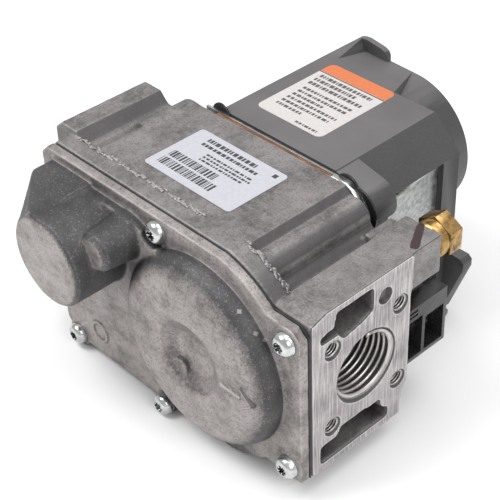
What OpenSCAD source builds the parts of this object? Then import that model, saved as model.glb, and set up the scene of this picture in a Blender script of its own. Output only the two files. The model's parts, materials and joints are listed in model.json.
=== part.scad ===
// Combination gas valve with standing pilot, 24 V operator and threaded 1/2-inch ports.
// Frame: origin at the centre of the outlet port on the outlet face, +X along the gas flow,
// +Y towards the control head, +Z towards the label face. Millimetres.

/* [Body casting] */
// Distance from the inlet face to the outlet face
body_len = 108; // [104:1:112]
// Height of the label face above the port axis
top_z = 33.5; // [33:0.5:35]
// Half height of the square port blocks
port_h = 27; // [26.5:0.5:27.5]
// Distance from the port axis to the joint face of the bottom plate
seam_d = 20.4; // [20:0.1:20.6]
// Thickness of the body's flange next to the bottom plate
flange_t = 5.6; // [5:0.1:6]
// Distance from the port axis to the face that carries the control head
back_d = 20.8; // [20.6:0.1:21.2]
// Distance from the port axis to the back wall of the port blocks
port_back_d = 16.7; // [16.5:0.1:17]

/* [Gas ports] */
// Radius of the port at its thread roots
port_r = 10.4; // [10.2:0.05:10.5]
// Length of the threaded stretch of each port
port_thread_len = 17; // [16:0.5:18]
// Radius of the plain gas passage behind the threads
passage_r = 8; // [7:0.25:8.2]
// Half spacing of the flange bolt holes across the port
bolt_y = 12.6; // [12.4:0.1:12.8]
// Half spacing of the flange bolt holes up the port
bolt_z = 13.3; // [13.1:0.1:13.5]
// Radius of the outlet's flange bolt holes
bolt_r = 2.4; // [2.4:0.05:2.6]
// Radius of the inlet's flange bolt holes
inlet_bolt_r = 2.1; // [2:0.05:2.2]

/* [Bottom plate] */
// Thickness of the bottom plate's rim
plate_t = 3; // [2.6:0.1:3.2]
// Height of the diaphragm dome above the joint face
dome_h = 10.6; // [10.2:0.1:11]
// Outer radius of the diaphragm dome
dome_r = 29; // [28.5:0.25:29.5]
// Height of the power unit tower above the joint face
tower_h = 23.6; // [23:0.2:24.4]
// Radius of the power unit tower
tower_r = 14; // [13.6:0.1:14.2]

/* [Control head] */
// Distance from the port axis to the end face of the control cover
cover_end = 81; // [80:0.5:82]
// Height of the control cover's top face above the port axis
cover_top = 33.5; // [33:0.25:34]
// Wall thickness of the control cover
cover_wall = 2; // [1.8:0.1:2.2]
// Radius of the gas control knob
knob_r = 16.5; // [16:0.25:16.75]

/* [Motion] */
// How far the knob is pushed in to open the safety valve
push_travel = 3.5; // [3:0.1:3.6]
// Lift of the main valve
main_lift = 3; // [2:0.1:3.2]
// Stroke of the solenoid plunger
plunger_stroke = 2; // [1.5:0.1:2.2]

/* [Hidden] */

$fn = 64;
EPS = 0.01;

// Colours
CAST = "#a39d98";
STEEL = "#b9bcc0";
ZINC = "#c9cdd0";
BRASS = "#c9a050";
GREY = "#66666a";
BLACK = "#1c1c1e";
RUBBER = "#2b2b2d";
COPPER = "#b0653a";
BROWN = "#7c4a2c";
PAPER = "#cfd0d6";

// Planes across the valve, along Y
seam_y = -seam_d;
flange_y = seam_y + flange_t;
back_y = back_d;
sheet_t = 0.5;
plate_y = seam_y - sheet_t;
rim_y = plate_y - plate_t;
pad_y = rim_y - 3;
dome_y = seam_y - dome_h;
tower_y = seam_y - tower_h;

// Axes that run along Y, as [x, z]
MAIN = [-35, 0];
SAFETY = [-77, 16.5];
KNOB = [-55.5, 8];
SOLENOID = [-37, 10];
REGULATOR = [-63.5, -18];
PILOT = [-46, -24];
THERMO = [-87, -16];
LEAD_BOSS = [-63, 23.4];
FITTING = [-6.4, 20.6];
PLATE_SCREWS = [[-52, 29.2], [-4.3, 21], [-4.3, -22], [-51.6, -30], [-92, -28.6], [-97.2, -6]];
COVER_SCREWS = [[-25.5, 25], [-74, -28.5], [-32, -26.2]];

// Main valve
pocket_r = 24;
pocket_y = -12.6;
seat_y = -14;
seat_out_r = 12.5;
lift_plate_r = 19;

// ---------------------------------------------------------------- helpers

// Places its children's flat outline, drawn as [x, z], between two planes across Y
module slab(y0, y1) {
    translate([0, y1, 0])
        rotate([90, 0, 0])
            linear_extrude(y1 - y0)
                children();
}

// A rod along Y between two planes, on an axis given as [x, z]
module rod_y(axis, r, y0, y1, r_end = -1) {
    translate([axis[0], y0, axis[1]])
        rotate([-90, 0, 0])
            cylinder(h = y1 - y0, r1 = r, r2 = r_end < 0 ? r : r_end);
}

// A tube along Y
module tube_y(axis, r_out, r_in, y0, y1) {
    difference() {
        rod_y(axis, r_out, y0, y1);
        rod_y(axis, r_in, y0 - 1, y1 + 1);
    }
}

// A rod along X between two planes
module rod_x(y, z, r, x0, x1, r_end = -1) {
    translate([x0, y, z])
        rotate([0, 90, 0])
            cylinder(h = x1 - x0, r1 = r, r2 = r_end < 0 ? r : r_end);
}

// A box given by its two corners
module box(low, high) {
    translate(low)
        cube(high - low);
}

// A hexagonal prism along Y, by its width across flats
module hex_y(axis, flats, y0, y1, turn = 0) {
    translate([axis[0], y0, axis[1]])
        rotate([-90, turn, 0])
            cylinder(h = y1 - y0, r = flats / sqrt(3), $fn = 6);
}

// Points of a coil spring's wire section, ring by ring
function wire_ring(r, wire, turns, len, i, per_turn, sides) =
    let (a = 360 * i / per_turn, rise = len * i / (turns * per_turn))
    [for (k = [0:sides - 1])
        let (b = 360 * k / sides, rr = r + wire / 2 * cos(b))
        [rr * cos(a), rr * sin(a), rise + wire / 2 * sin(b)]];

// A coil spring along Y with open ends
module spring_y(axis, r, wire, y0, y1, turns) {
    per_turn = 12;
    sides = 6;
    rings = turns * per_turn;
    len = y1 - y0 - wire;
    points = [for (i = [0:rings]) each wire_ring(r, wire, turns, len, i, per_turn, sides)];
    sides_faces = [for (i = [0:rings - 1], k = [0:sides - 1])
        let (a = i * sides + k, b = i * sides + (k + 1) % sides)
        [a, a + sides, b + sides, b]];
    start_cap = [[for (k = [0:sides - 1]) k]];
    end_cap = [[for (k = [sides - 1:-1:0]) rings * sides + k]];
    translate([axis[0], y0 + wire / 2, axis[1]])
        rotate([-90, 0, 0])
            polyhedron(points, concat(sides_faces, start_cap, end_cap), convexity = 10);
}

// A pan head screw pointing into the valve along +Y, with a six-lobed recess
module plate_screw(axis, head_y, end_y) {
    head_h = 2.6;
    difference() {
        translate([axis[0], head_y, axis[1]])
            rotate([90, 0, 0])
                rotate_extrude()
                    polygon([
                        [0, 0], [3.35, 0], [3.35, 0.7], [3.2, 1.35], [2.85, 1.95],
                        [2.35, 2.35], [1.7, head_h], [0, head_h]
                    ]);
        for (turn = [0, 60, 120])
            translate([axis[0], head_y - head_h - 1, axis[1]])
                rotate([-90, turn, 0])
                    translate([-1.5, -0.45, 0])
                        cube([3, 0.9, 2.2]);
    }
    rod_y(axis, 1.9, head_y - EPS, end_y);
}

// ---------------------------------------------------------------- body casting

// Outline of the joint between the body and the bottom plate
module seam_outline(grow = 0) {
    left = -body_len + 4 - grow;
    intersection() {
        translate(MAIN)
            circle(r = 34.2 + grow);
        square([200, 2 * (top_z + grow)], center = true);
    }
    polygon([
        [left, -top_z + 5 - grow], [left + 5, -top_z - grow], [MAIN[0], -top_z - grow],
        [MAIN[0], top_z + grow], [left + 4, top_z + grow], [left, top_z - 4]
    ]);
    polygon([
        [-16, -port_h + 0.2], [-0.2, -port_h + 0.2], [-0.2, port_h - 4.6],
        [-3.2, port_h - 2], [-16, port_h - 2]
    ]);
}

// Section of the casting across X and Z, behind its flange
module body_section() {
    ridge = [-23.5, 26];
    polygon([
        [-body_len, -port_h], [-body_len + 6, -top_z], [-22, -top_z], [-12, -port_h],
        [-11, -port_h], [-11, port_h - 0.4], [-11.6, port_h - 0.6], [-14.8, 23.2],
        [-18.2, 25.6], [-23.5, 31], [-25, 31.2], [-27, top_z], [-88, top_z],
        [-90.5, 32], [-93, 31.2], [-95, 32], [-96.5, top_z], [-98, top_z + 1.5],
        [-body_len + 3, top_z + 1.5], [-body_len, top_z - 1]
    ]);
    translate(ridge)
        circle(r = 5.5);
}

// Upper lightening pocket of a port face, drawn as [y, z]
module port_pocket_upper() {
    polygon([
        [-11.2, 24.6], [1.8, 24.6], [1.8, 17.8], [-2, 16.4], [-8.6, 15.2],
        [-10.5, 17.6], [-16.6, 17.6], [-16.6, 19.8], [-11.8, 20.6]
    ]);
}

// Lower lightening pocket of a port face, drawn as [y, z]
module port_pocket_lower() {
    difference() {
        polygon([
            [-16.8, -24.2], [8.6, -24.2], [8.6, -18.6], [4.8, -16.2],
            [-8.8, -15.6], [-11, -18.2], [-16.8, -18.2]
        ]);
        translate([9.6, -17.2])
            circle(r = 4);
    }
}

// Everything cut into one port face, drawn for the outlet at x = 0
module port_cuts(hole_r) {
    rod_x(0, 0, port_r, -port_thread_len, 1);
    rod_x(0, 0, port_r, -0.7, 0.1, port_r + 0.8);
    for (y = [-bolt_y, bolt_y], z = [-bolt_z, bolt_z]) {
        rod_x(y, z, hole_r, -10, 1);
        rod_x(y, z, hole_r, -0.5, 0.1, hole_r + 0.6);
    }
    translate([-8, 0, 0])
        rotate([90, 0, 90])
            linear_extrude(9)
                port_pocket_upper();
    translate([-8, 0, 0])
        rotate([90, 0, 90])
            linear_extrude(9)
                port_pocket_lower();
    rod_x(6.5, 19.6, 2.2, -1.4, 1);
}

// One square port block, drawn for the outlet at x = 0
module port_block() {
    translate([-12, 0, 0])
        rotate([90, 0, 90])
            linear_extrude(12)
                polygon([
                    [seam_y, -port_h + 1.2], [seam_y + 1, -port_h], [14.3, -port_h],
                    [14.6, -19], [port_back_d, -15.7], [port_back_d, port_h],
                    [-15, port_h], [seam_y, port_h - 1.6]
                ]);
}

// The lug beside the outlet that carries the pilot gas outlet
module pilot_lug() {
    box([-12.6, port_back_d - 1, 14.8], [-0.3, 28.4, port_h]);
    box([-16, port_back_d - 1, 12], [-11, 26, 25.5]);
}

// Gas passages, chambers and valve pockets inside the casting
module body_chambers() {
    // Outlet passage and the main valve's throat
    rod_x(0, 0, passage_r, MAIN[0], -port_thread_len + EPS);
    rod_y(MAIN, passage_r, -20, 8);
    // Diaphragm pocket round the main valve's seat boss
    difference() {
        rod_y(MAIN, pocket_r, seam_y - 1, pocket_y);
        rod_y(MAIN, seat_out_r, seat_y, pocket_y + 1);
    }
    // Inlet passage and inlet chamber, with room for the reset yoke
    rod_x(0, 0, passage_r, -body_len + port_thread_len - EPS, -78);
    rod_y([-79, 0], passage_r, -9, 9);
    rod_y(SAFETY, 12, -9, 14);
    slab(4, 14)
        union() {
            translate(KNOB)
                circle(r = 6.4);
            polygon([
                [KNOB[0] - 1, KNOB[1] - 6.2], [KNOB[0] + 1, KNOB[1] + 6.2],
                [SAFETY[0] + 1, SAFETY[1] + 6.2], [SAFETY[0] - 1, SAFETY[1] - 6.2]
            ]);
        }
    rod_y(KNOB, 1.58, 13, back_y + 1);
    // Safety valve port and the passage to the diaphragm pocket
    rod_y(SAFETY, 7, -14, -8);
    rod_y(SAFETY, 12.5, seam_y - 1, -13.4);
    box([-72, seam_y - 1, 2], [-54, -15, 12]);
    // Servo gas passages from the control head
    rod_y(SOLENOID, 1.2, 2, back_y + 1);
    rod_y(REGULATOR, 1.2, 8, back_y + 1);
    rod_y(PILOT, 1.2, 8, back_y + 1);
}

module valve_body() {
    color(CAST)
        difference() {
            union() {
                slab(seam_y, flange_y)
                    seam_outline();
                slab(flange_y - EPS, port_back_d)
                    body_section();
                slab(port_back_d - EPS, back_y)
                    intersection() {
                        body_section();
                        translate([-88, -60])
                            square([73, 120]);
                    }
                slab(2, back_y)
                    translate([-88, 28])
                        circle(r = 6);
                rod_y(THERMO, 7, port_back_d - 2, back_y);
                port_block();
                translate([-body_len, 0, 0])
                    mirror([1, 0, 0])
                        port_block();
                pilot_lug();
            }
            port_cuts(bolt_r);
            translate([-body_len, 0, 0])
                mirror([1, 0, 0])
                    port_cuts(inlet_bolt_r);
            body_chambers();
            for (i = [0:5])
                rod_y(PLATE_SCREWS[i], 1.95, seam_y - 1, plate_screw_end(i) + 0.3);
            for (screw = COVER_SCREWS)
                rod_y(screw, 1.55, back_y - 8, back_y + 1);
            // Pilot gas outlet through the lug
            rod_y(FITTING, 3.6, port_back_d + 3, 30);
            rod_y(FITTING, 1.2, 12, 22);
            // Thermocouple socket and terminal block screw
            rod_y(THERMO, 4.05, back_y - 7, back_y + 1);
            rod_y(TB_SCREW, 1.45, 8, port_back_d + 1);
            // Pressure taps in the rest side
            for (tap = [[-96, -top_z], [-14, -port_h]])
                translate([tap[0], 0, -40]) {
                    cylinder(h = 46 + tap[1], r = 4.1);
                    cylinder(h = 33, r = 1);
                }
        }
}

// ---------------------------------------------------------------- bottom plate

// The diaphragm dome's outside, turned about the main valve's axis
module dome_shape() {
    round = 7;
    h = rim_y - dome_y;
    dimple_r = 12.6;
    dimple_d = 3.2;
    translate([MAIN[0], rim_y, MAIN[1]])
        rotate([90, 0, 0])
            rotate_extrude()
                difference() {
                    union() {
                        square([dome_r - round, h]);
                        square([dome_r, h - round + EPS]);
                        translate([dome_r - round, h - round])
                            circle(r = round);
                    }
                    polygon([
                        [-1, h - dimple_d], [5.6, h - dimple_d], [6.8, h - dimple_d + 0.25],
                        [10.4, h - 0.85], [11.5, h - 0.2], [dimple_r, h], [dimple_r, h + 2], [-1, h + 2]
                    ]);
                    translate([-40, -10])
                        square([40, 40]);
                    translate([-40, -20])
                        square([80, 20]);
                }
}

// The power unit tower's outside: a round column with a wedge on its left
module tower_shape() {
    difference() {
        union() {
            rod_y(SAFETY, tower_r, tower_y + 1.2, rim_y);
            rod_y(SAFETY, tower_r - 1.2, tower_y, tower_y + 1.2 + EPS, tower_r);
        }
        box([-100, -60, SAFETY[1] + tower_r - 0.4], [-60, -rim_y, 60]);
    }
    hull() {
        slab(rim_y - 7, rim_y)
            polygon([[-100, -2], [-97, 31], [-79.5, 31], [-80, -2]]);
        slab(tower_y + 1, tower_y + 2)
            polygon([[-90.6, 12], [-87.5, 25.6], [-82.5, 29.8], [-80, 29.8], [-80, 6]]);
    }
}

// The small round boss beside the tower
module lead_boss_shape() {
    rod_y(LEAD_BOSS, 5.7, tower_y + 7.4, rim_y, 7);
    rod_y(LEAD_BOSS, 4.2, tower_y + 6, tower_y + 7.4 + EPS, 5.7);
}

module bottom_plate() {
    color(CAST)
        difference() {
            union() {
                slab(rim_y, plate_y)
                    intersection() {
                        seam_outline();
                        translate([-body_len + 5.5, -60])
                            square([200, 120]);
                    }
                dome_shape();
                tower_shape();
                lead_boss_shape();
                // Raised pad on the inlet side, with a ring boss
                slab(pad_y, rim_y + EPS)
                    polygon([
                        [-96, -24], [-90, -30.6], [-56, -30.6], [-50, -22],
                        [-50, 26], [-60, 30], [-96, 30]
                    ]);
                tube_y([-80.6, -21.2], 3.6, 2.9, pad_y - 0.8, pad_y + 1);
                // Bosses under the screw heads
                for (screw = [PLATE_SCREWS[1], PLATE_SCREWS[2]])
                    rod_y(screw, 4.6, rim_y - 0.8, rim_y + EPS);
                rod_y(PLATE_SCREWS[3], 3.5, rim_y - 3.7, plate_y - 1);
                rod_y(PLATE_SCREWS[4], 4.8, pad_y, plate_y - 1);
                rod_y(PLATE_SCREWS[5], 4.6, pad_y, plate_y - 1);
                rod_y([-40.5, -7.5], 2.8, dome_y + 1.4, dome_y + 4);
                // Cast flow arrow
                slab(dome_y - 0.35, dome_y + EPS)
                    flow_arrow();
            }
            // Diaphragm chamber under the dome, leaving the dimple's floor
            difference() {
                rod_y(MAIN, 24.8, dome_y + 2.8, plate_y + 1);
                rod_y(MAIN, 14.6, dome_y - 1, plate_y - 1.7 - main_lift);
            }
            // Power unit bore in the tower
            rod_y(SAFETY, 10.6, tower_y + 2.6, plate_y + 1);
            for (i = [0:5])
                rod_y(PLATE_SCREWS[i], 2.1, -60, plate_y + 1);
            rod_y(PLATE_SCREWS[0], 4, -60, rim_y);
            rod_y(PLATE_SCREWS[3], 3.6, -60, rim_y - 3.7);
        }
}

// Arrow that shows the flow direction
module flow_arrow() {
    translate([-21.5, -0.5])
        square([8, 1]);
    polygon([[-14.6, 3.2], [-13.6, 3.2], [-10.4, 0], [-13.6, -3.2], [-14.6, -3.2], [-11.8, 0]]);
}

module main_diaphragm() {
    color(RUBBER)
        difference() {
            slab(plate_y, seam_y)
                intersection() {
                    seam_outline(-0.5);
                    translate([-body_len + 6.2, -60])
                        square([200, 120]);
                }
            rod_y(MAIN, lift_plate_r + 0.4, -30, 0);
            rod_y(SAFETY, 12.5, -30, 0);
            for (screw = PLATE_SCREWS)
                rod_y(screw, 2.3, -30, 0);
        }
}

// Head planes of the bottom plate's screws
function plate_screw_y(i) = [rim_y, rim_y - 0.8, rim_y - 0.8, rim_y - 3.7, pad_y, pad_y][i];

// Planes where the same screws end; two of them stop short of the outlet's pockets
function plate_screw_end(i) = i == 1 || i == 2 ? seam_y + 2.7 : seam_y + 6;

module bottom_plate_screws() {
    color(ZINC)
        for (i = [0:5])
            plate_screw(PLATE_SCREWS[i], plate_screw_y(i), plate_screw_end(i));
}

// ---------------------------------------------------------------- main valve

module main_valve_seat() {
    color(BRASS)
        tube_y(MAIN, passage_r - 0.02, passage_r - 1.2, seat_y, seat_y + 7);
}

module main_valve_disc() {
    color(RUBBER)
        tube_y(MAIN, 11, 2.5, seat_y - 2.3, seat_y - 0.1);
}

module diaphragm_plate() {
    color(STEEL) {
        rod_y(MAIN, lift_plate_r, plate_y - 0.8, plate_y + 0.4);
        rod_y(MAIN, 10, plate_y + 0.4 - EPS, seat_y - 2.3);
        rod_y(MAIN, 2.5, seat_y - 2.3 - EPS, seat_y - 0.3);
    }
}

module main_valve_spring() {
    color(STEEL)
        spring_y(MAIN, 17, 0.9, dome_y + 2.9, plate_y - 0.9, 3);
}

// ---------------------------------------------------------------- safety valve and power unit

safety_seat_y = -14;
YOKE_Y = [10, 11.6];
// The armature rests its push travel away from the magnet's core
core_y = tower_y + 4.3;
armature_y = core_y + 0.2 + push_travel;

module safety_valve_seat() {
    color(BRASS)
        tube_y(SAFETY, 6.98, 5.6, safety_seat_y, safety_seat_y + 4.6);
}

module safety_valve_disc() {
    color(RUBBER)
        tube_y(SAFETY, 8.6, 1.5, safety_seat_y - 2.3, safety_seat_y - 0.1);
}

module safety_valve_stem() {
    color(STEEL) {
        rod_y(SAFETY, 7.4, safety_seat_y - 3.3, safety_seat_y - 2.3);
        rod_y(SAFETY, 1.5, armature_y + 2, YOKE_Y[0] - 0.1);
    }
}

module safety_valve_armature() {
    color(STEEL)
        tube_y(SAFETY, 5, 1.5, armature_y, armature_y + 2.1);
}

module safety_valve_spring() {
    color(STEEL)
        spring_y(SAFETY, 6.2, 0.9, -31, safety_seat_y - 3.4, 5);
}

module power_unit_magnet() {
    color(STEEL) {
        tube_y(SAFETY, 10.4, 8.2, tower_y + 2.7, -31.2);
        rod_y(SAFETY, 8.2 + EPS, tower_y + 2.7, tower_y + 3.7);
        rod_y(SAFETY, 2.4, tower_y + 3.7 - EPS, core_y);
        difference() {
            rod_y(SAFETY, 8.2 + EPS, -31.9, -31.2);
            rod_y(SAFETY, 5.2, -33, -30);
        }
    }
}

module power_unit_coil() {
    color(COPPER)
        tube_y(SAFETY, 7.8, 5.4, tower_y + 3.8, armature_y - 0.5);
}

module thermocouple_socket() {
    color(BRASS)
        difference() {
            union() {
                rod_y(THERMO, 4.03, back_y - 6.5, back_y + EPS);
                hex_y(THERMO, 11, back_y + 0.02, back_y + 3);
                rod_y(THERMO, 4.5, back_y + 3 - EPS, back_y + 8);
            }
            rod_y(THERMO, 3.4, back_y, back_y + 9);
        }
}

module inlet_screen() {
    color(STEEL)
        difference() {
            rod_x(0, 0, passage_r - 0.05, -body_len + port_thread_len + 1, -body_len + port_thread_len + 2);
            for (y = [-5:2.5:5], z = [-5:2.5:5])
                rod_x(y, z, 0.8, -body_len, -80);
        }
}

// ---------------------------------------------------------------- control head

gasket_t = 1.1;
seal_t = 0.8;
gasket_y = back_y + gasket_t;
seal_y = gasket_y + seal_t;
base_y = seal_y + 1.4;
foot_y = seal_y + 0.6;
cover_x0 = -78.8;
cover_x1 = -23.8;
cover_low = -33.5;
fold_x = -33.6;
fold_z = 24.6;
shoulder_y = 64;
head_x0 = -84;
// Height of a screw head's seat inside the cover
screw_seat_y = 38;

// Outline of the control head's base, drawn as [x, z]
module head_outline(left) {
    polygon([
        [left, -31], [-20, -31], [-20, 22], [-21.6, 27], [-24.6, 31.2], [-27.8, top_z - 0.4],
        [left, top_z - 0.3]
    ]);
}

// Holes through the stack between the body and the control head
module head_holes() {
    for (axis = [SOLENOID, REGULATOR, PILOT])
        rod_y(axis, 1.6, back_y - 1, 40);
    for (screw = COVER_SCREWS)
        rod_y(screw, 1.9, back_y - 1, 40);
}

module head_gasket() {
    color(BROWN)
        difference() {
            slab(back_y, gasket_y)
                intersection() {
                    head_outline(-78.6);
                    translate([-90, -60])
                        square([56.6, 120]);
                }
            rod_y(KNOB, 3.6, 0, 40);
            head_holes();
        }
}

module sealing_plate() {
    color(ZINC)
        difference() {
            union() {
                slab(gasket_y, seal_y)
                    difference() {
                        head_outline(head_x0);
                        translate(THERMO)
                            circle(r = 8);
                    }
                // Folded end of the plate beside the gasket
                slab(back_y + 0.02, gasket_y + EPS)
                    intersection() {
                        head_outline(-40);
                        translate([-33, -60])
                            square([20, 120]);
                    }
            }
            rod_y(KNOB, 2, 0, 40);
            head_holes();
        }
}

module control_base() {
    color(BLACK)
        difference() {
            union() {
                slab(seal_y, foot_y - 0.02)
                    union() {
                        intersection() {
                            head_outline(cover_x0 - 0.4);
                            translate([-90, -30])
                                square([68.5, 62.6]);
                        }
                        translate([-78.6, 32])
                            circle(r = 3.6);
                        translate([-28.8, 30.4])
                            circle(r = 4.2);
                        translate(COVER_SCREWS[0])
                            circle(r = 7.3);
                    }
                slab(seal_y, base_y)
                    difference() {
                        cover_main(cover_wall + 0.2);
                        translate([-90, -60])
                            square([80, 29.4]);
                        translate(COVER_SCREWS[0])
                            circle(r = 6.6);
                        for (i = [1, 2])
                            translate(COVER_SCREWS[i])
                                circle(r = 4.8);
                        translate([-37.2, 26.8])
                            square([5, 10]);
                    }
                // Guide and seal well for the knob's push rod
                rod_y(KNOB, 5, seal_y, base_y + 3);
            }
            rod_y(KNOB, 1.58, seal_y - 1, base_y + 4);
            rod_y(KNOB, 3.6, seal_y - 1, base_y + 1);
            head_holes();
            rod_y(REGULATOR, 8.1, seal_y + 0.4, base_y + 4);
        }
}

module stem_seal() {
    color(RUBBER)
        tube_y(KNOB, 3.5, 1.53, seal_y + 0.1, base_y + 0.9);
}

// Outline of the cover between its foot and its shoulder
module cover_main(inset = 0) {
    polygon([
        [cover_x0 + inset, cover_low + inset], [fold_x - inset * 0.4, cover_low + inset],
        [cover_x1 - inset, cover_low + 7 + inset * 0.4], [cover_x1 - inset, fold_z - inset * 0.4],
        [fold_x - inset * 0.4, cover_top - inset], [cover_x0 + inset, cover_top - inset]
    ]);
}

// Outline of the cover's end section, with the round knob housing
module cover_end_outline(inset = 0) {
    translate(KNOB)
        circle(r = 22.2 - inset);
    polygon([
        [cover_x0 + inset, cover_low + inset], [-36.9 - inset, cover_low + inset],
        [-36.9 - inset, -4], KNOB, [KNOB[0], KNOB[1] + 22.2 - inset],
        [cover_x0 + inset, KNOB[1] + 23 - inset]
    ]);
}

// Top of the cover that slopes from the shoulder to the end face
module cover_slope() {
    hull() {
        slab(shoulder_y - 3, shoulder_y)
            polygon([[cover_x0, 15], [cover_x0, cover_top], [-49, cover_top], [-45, 15]]);
        slab(cover_end - 1, cover_end)
            polygon([[cover_x0, 15], [cover_x0, 31], [KNOB[0] - 1, 30.2], [KNOB[0] + 2, 15]]);
    }
}

// Outside of the cover, before it is hollowed
module cover_solid() {
    slab(foot_y, shoulder_y)
        cover_main();
    cover_slope();
    slab(shoulder_y - 1, cover_end)
        cover_end_outline();
    // Round boss over the outer screw, blended into the top
    hull() {
        rod_y(COVER_SCREWS[0], 6.4, foot_y, 32);
        box([-37, foot_y, 27], [-33, 32, cover_top - 0.3]);
    }
    // Rib along the far corner, rising into the ear
    hull() {
        slab(shoulder_y - 1, shoulder_y)
            polygon([[cover_x0, 30], [cover_x0, cover_top], [cover_x0 + 1, cover_top], [cover_x0 + 4, 32]]);
        slab(cover_end - 2, cover_end)
            polygon([[cover_x0, 28], [cover_x0, 33.4], [-77, 34.8], [-75.8, 35], [-74, 31.4]]);
    }
    slab(cover_end - 2, cover_end)
        polygon([
            [cover_x0, 28], [cover_x0, 33.4], [-77, 34.8], [-75, 35.4], [-73.4, 35.5],
            [-67.6, 34.6], [-66, 33.9], [-65.3, 32.6], [-65.2, 28]
        ]);
    // Fin below the pilot fitting
    hull() {
        box([-27, 60, -10], [-17.6, 64, -9]);
        box([-27, 60, -12.5], [-16.3, 64, -10.2]);
        box([-27, 60, -32], [cover_x1 + 0.3, 64, -31]);
    }
}

module cover_hollow() {
    difference() {
        slab(foot_y - 1, shoulder_y - cover_wall)
            cover_main(cover_wall);
        rod_y(COVER_SCREWS[0], 6.4, 0, 32);
        for (i = [1, 2])
            rod_y(COVER_SCREWS[i], 4.6, 0, 90);
    }
    difference() {
        slab(shoulder_y - cover_wall - 1, cover_end - cover_wall)
            cover_end_outline(cover_wall);
        // Cup that surrounds the knob
        rod_y(KNOB, knob_r + 2.3, 70.6, 90);
        rod_y(COVER_SCREWS[1], 4.6, 0, 90);
    }
}

module control_cover() {
    color(GREY)
        difference() {
            cover_solid();
            cover_hollow();
            // Side opening that shows the solenoid's bracket
            box([-28, 34, -21], [0, 57.2, fold_z - 0.8]);
            rod_y(KNOB, knob_r + 0.5, cover_end - 8.4, 90);
            rod_y(KNOB, 3.3, 60, 90);
            rod_y(REGULATOR, 7.4, 60, 90);
            rod_y(PILOT, 4.4, 60, 90);
            rod_y(COVER_SCREWS[0], 1.9, 0, 30);
            rod_y(COVER_SCREWS[0], 3.5, 29, 33);
            for (i = [1, 2]) {
                rod_y(COVER_SCREWS[i], 1.9, 0, screw_seat_y + 1);
                rod_y(COVER_SCREWS[i], 3.5, screw_seat_y, 90);
            }
        }
}

module cover_screws() {
    color(ZINC) {
        for (i = [0:2])
            let (head = i == 0 ? 29 : screw_seat_y)
            union() {
                rod_y(COVER_SCREWS[i], 3.2, head, head + 2);
                rod_y(COVER_SCREWS[i], 1.5, back_y - 7, head + EPS);
            }
    }
}

// ---------------------------------------------------------------- knob and reset

knob_y0 = cover_end - 4;
knob_y1 = cover_end + 2.6;
clip_y = 42.6;

module gas_control_knob() {
    color(GREY)
        difference() {
            union() {
                rod_y(KNOB, knob_r, knob_y0, knob_y1 - 3);
                rod_y(KNOB, knob_r, knob_y1 - 3 - EPS, knob_y1 - 2.2, knob_r - 0.8);
                // Grip bar
                box([KNOB[0] - 3, knob_y0, KNOB[1] - 12.5], [KNOB[0] + 3, knob_y1, KNOB[1] + 12.5]);
                // Finger ribs round the edge
                for (a = [0:20:340])
                    translate([KNOB[0], knob_y0, KNOB[1]])
                        rotate([-90, a, 0])
                            translate([knob_r - 0.3, 0, 0])
                                cylinder(h = 3.4, r = 0.55);
            }
            // Pointer groove
            box([KNOB[0] - 0.7, knob_y1 - 0.7, KNOB[1] + 4], [KNOB[0] + 0.7, knob_y1 + 1, KNOB[1] + 13]);
            rod_y(KNOB, 3.02, knob_y0 - 1, knob_y1 - 2);
        }
}

module knob_shaft() {
    color(STEEL)
        difference() {
            union() {
                rod_y(KNOB, 3, 34.8, knob_y1 - 2);
                rod_y(KNOB, 1.5, YOKE_Y[0], 34.9);
                // Collar that pushes the yoke
                rod_y(KNOB, 2.4, YOKE_Y[1] + 0.1, 13.9);
                // Cam that lifts the on-off follower
                rod_y([KNOB[0] - 1.2, KNOB[1]], 4, 46, 50);
            }
            tube_y(KNOB, 4, 2.5, clip_y, clip_y + 0.8);
        }
}

module knob_retaining_clip() {
    color(STEEL)
        difference() {
            tube_y(KNOB, 5, 2.55, clip_y + 0.05, clip_y + 0.75);
            box([KNOB[0] - 1.6, 40, KNOB[1] - 8], [KNOB[0] + 1.6, 46, KNOB[1]]);
        }
}

module knob_spring() {
    color(STEEL)
        spring_y(KNOB, 4.1, 0.7, base_y + 3.1, clip_y, 6);
}

module reset_yoke() {
    color(STEEL)
        difference() {
            slab(YOKE_Y[0], YOKE_Y[1])
                union() {
                    translate(KNOB)
                        circle(r = 5);
                    translate(SAFETY)
                        circle(r = 3.6);
                    polygon([
                        [KNOB[0] - 1, KNOB[1] - 5], [KNOB[0] + 1, KNOB[1] + 5],
                        [SAFETY[0] + 0.6, SAFETY[1] + 3.6], [SAFETY[0] - 0.8, SAFETY[1] - 3.6]
                    ]);
                }
            rod_y(KNOB, 1.56, 0, 40);
        }
}

// ---------------------------------------------------------------- solenoid

coil_y0 = 35;
coil_y1 = 56;
plunger_y1 = coil_y1 - plunger_stroke - 4.5;

module solenoid_bracket() {
    x1 = cover_x1 - cover_wall - 0.1;
    color(ZINC)
        difference() {
            union() {
                box([x1 - 1.2, coil_y0 - 1.2, -24], [x1, shoulder_y - 4.4, 23.6]);
                box([-48.5, coil_y0 - 1.2, -2], [x1 - EPS, coil_y0, 22]);
                box([-46, coil_y1, -1], [x1 - EPS, coil_y1 + 1.2, 21]);
                // Round tab that sits behind the cover's screw boss
                rod_y([COVER_SCREWS[0][0] - 0.3, COVER_SCREWS[0][1] - 0.4], 7.2, 32.1, coil_y0 - 1.1);
            }
            rod_y(SOLENOID, 3.4, 20, coil_y0 + 1);
            rod_y(COVER_SCREWS[0], 3.6, 20, 60);
            slab(20, 60)
                difference() {
                    translate([-36, 10])
                        square([30, 40]);
                    cover_main(cover_wall + 0.1);
                }
        }
}

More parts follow.
